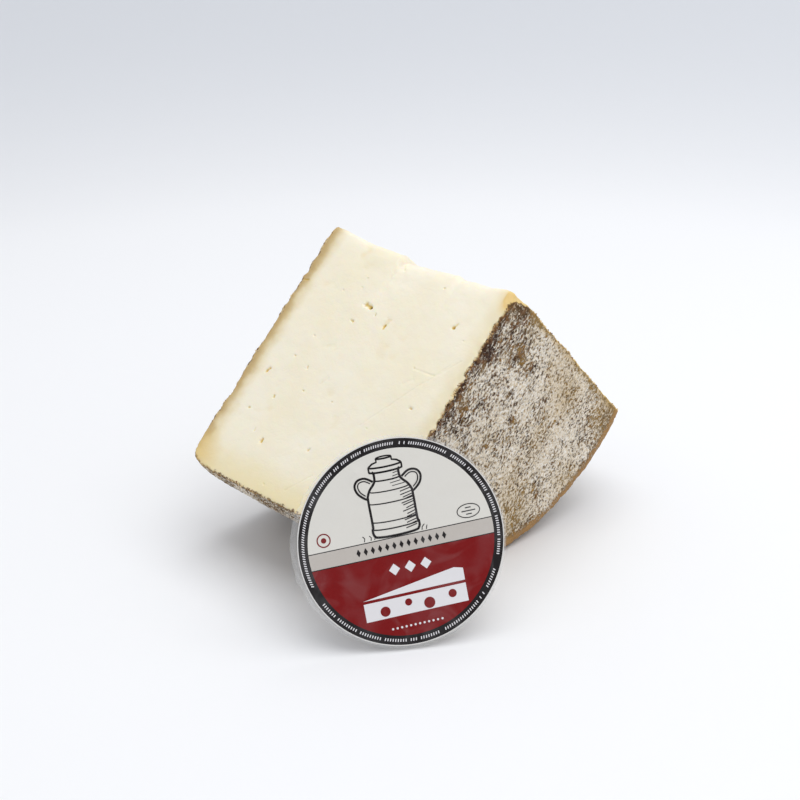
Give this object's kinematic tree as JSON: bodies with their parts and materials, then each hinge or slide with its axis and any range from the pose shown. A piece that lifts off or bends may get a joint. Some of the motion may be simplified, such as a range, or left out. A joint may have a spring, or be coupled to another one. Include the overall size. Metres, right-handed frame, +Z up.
{
  "type": "cheese wedge with a round label",
  "caption": "Wedge cut from a natural-rind cheese wheel, standing on its rim, with a round label in clear film leaning against its front corner.",
  "frame": {"origin": "middle of the object's box, at the height of the surface it stands on", "axes": "+X along the wheel, from its base face to its top face; one cut face looks up and towards -Y, the other up and towards +Y; +Z up"},
  "size_m": [0.1238, 0.1656, 0.1092],
  "materials": {
    "cheese": "matt, slightly moist paste with a dry mottled rind",
    "printed_paper": "satin",
    "clear_film": "gloss"
  },
  "bodies": {
    "root": {"cheese_wedge": "cheese", "label_film": "clear_film", "label_paper": "printed_paper"}
  },
  "joints": []
}
